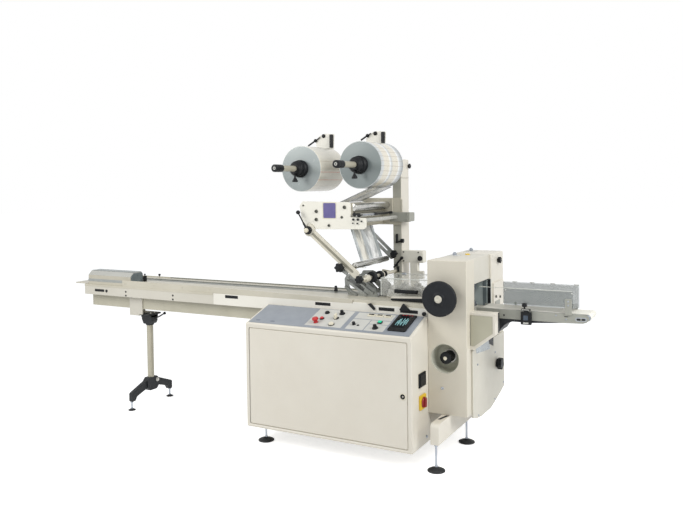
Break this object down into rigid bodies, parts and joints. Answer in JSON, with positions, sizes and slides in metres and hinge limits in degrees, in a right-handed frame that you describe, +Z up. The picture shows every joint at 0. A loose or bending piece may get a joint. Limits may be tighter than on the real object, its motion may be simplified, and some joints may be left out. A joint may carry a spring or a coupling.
{
  "type": "horizontal flow wrapping machine",
  "caption": "Floor-standing flow wrapper with a long infeed conveyor, control cabinet, film reels on a column, forming and sealing head and a short guarded belt discharge.",
  "frame": {"origin": "middle of the machine's outline in plan, on the floor under its levelling feet", "axes": "+X along the product's travel from infeed to discharge, +Y from the operator's side to the back, +Z up"},
  "size_m": [3.817, 0.983, 1.98],
  "materials": {
    "cream_paint": "satin powder coat",
    "shaded_paint": "satin powder coat",
    "panel_grey": "matt printed sheet",
    "black_plastic": "matt moulded",
    "black_metal": "black painted casting",
    "red_plastic": "gloss moulded",
    "screen": "dark glossy window",
    "yellow_plastic": "matt moulded",
    "green_plastic": "gloss moulded",
    "steel": "fine brushed",
    "bright_steel": "polished roller",
    "aluminium": "anodised",
    "khaki_tube": "smooth coated tube",
    "film": "wound plastic film",
    "belt": "smooth white belt",
    "clear_guard": "clear sheet",
    "grey_guard": "tinted sheet"
  },
  "bodies": {
    "machine": {"base_beam": "cream_paint", "belly_cover": "cream_paint", "cabinet_back_wall": "cream_paint", "cabinet_floor_and_deck": "cream_paint", "cabinet_front_frame": "cream_paint", "cabinet_left_wall": "cream_paint", "cabinet_right_wall": "cream_paint", "column": "cream_paint", "column_side_box": "cream_paint", "control_desk": "cream_paint", "control_panel": "panel_grey", "crimp_jaws": "steel", "discharge_bed_and_rollers": "bright_steel", "discharge_belt": "belt", "discharge_box": "cream_paint", "discharge_guard": "grey_guard", "discharge_side_plates": "aluminium", "discharge_support": "black_metal", "emergency_stop": "red_plastic", "film_head_far_plate": "cream_paint", "film_head_near_plate": "cream_paint", "film_webs": "film", "fin_seal_unit": "black_metal", "folding_arms": "steel", "forming_plates": "steel", "forming_rollers": "bright_steel", "guide_rollers": "bright_steel", "head_front_housing": "cream_paint", "head_inner_housing": "cream_paint", "head_rear_housing": "cream_paint", "infeed_bed": "steel", "infeed_body": "shaded_paint", "infeed_chain": "steel", "infeed_end_cover": "steel", "infeed_front_channel": "cream_paint", "levelling_feet": "black_metal", "main_switch_plate": "yellow_plastic", "panel_buttons": "black_plastic", "panel_screens": "screen", "photocell": "black_plastic", "reel_beam": "shaded_paint", "side_socket": "black_plastic", "stand_bracket": "cream_paint", "stand_clamp": "black_metal", "stand_legs": "black_metal", "stand_post": "aluminium", "start_button": "green_plastic"},
    "cabinet_door": {"cabinet_door": "cream_paint", "door_lock": "black_plastic"},
    "handwheel": {"handwheel": "black_plastic"},
    "jaw_knob": {"jaw_knob": "black_plastic"},
    "side_knob": {"side_knob": "black_plastic"},
    "main_switch_knob": {"main_switch_knob": "black_plastic"},
    "left_reel": {"left_film_roll": "film", "left_spindle": "khaki_tube"},
    "right_reel": {"right_film_roll": "film", "right_spindle": "khaki_tube"},
    "crank_lever": {"crank_lever": "black_plastic"},
    "fin_seal_cover": {"fin_seal_cover": "clear_guard", "cover_handle": "black_plastic"}
  },
  "joints": [
    {"name": "door_hinge", "type": "hinge", "parent": "machine", "child": "cabinet_door", "pos_m": [-0.0755, -0.4895, 0.425], "axis": [0, 0, -1], "range_deg": [0, 110]},
    {"name": "handwheel_turn", "type": "hinge", "parent": "machine", "child": "handwheel", "pos_m": [1.1265, -0.2875, 0.955], "axis": [0, 1, 0], "continuous": true},
    {"name": "jaw_knob_turn", "type": "hinge", "parent": "machine", "child": "jaw_knob", "pos_m": [1.1325, -0.1675, 0.6], "axis": [0, 1, 0], "continuous": true},
    {"name": "side_knob_turn", "type": "hinge", "parent": "machine", "child": "side_knob", "pos_m": [1.2985, 0.2965, 0.472], "axis": [1, 0, 0], "continuous": true},
    {"name": "main_switch_turn", "type": "hinge", "parent": "machine", "child": "main_switch_knob", "pos_m": [1.0485, -0.3465, 0.363], "axis": [1, 0, 0], "range_deg": [0, 90]},
    {"name": "left_reel_turn", "type": "hinge", "parent": "machine", "child": "left_reel", "pos_m": [0.0965, 0.0125, 1.722], "axis": [0, 1, 0], "continuous": true},
    {"name": "right_reel_turn", "type": "hinge", "parent": "machine", "child": "right_reel", "pos_m": [0.5315, 0.0125, 1.737], "axis": [0, 1, 0], "continuous": true},
    {"name": "crank_turn", "type": "hinge", "parent": "machine", "child": "crank_lever", "pos_m": [0.2165, -0.2375, 1.327], "axis": [0, 1, 0], "range_deg": [-60, 60]},
    {"name": "fin_cover_hinge", "type": "hinge", "parent": "machine", "child": "fin_seal_cover", "pos_m": [0.8365, 0.1745, 1.025], "axis": [-1, 0, 0], "range_deg": [0, 85]}
  ]
}
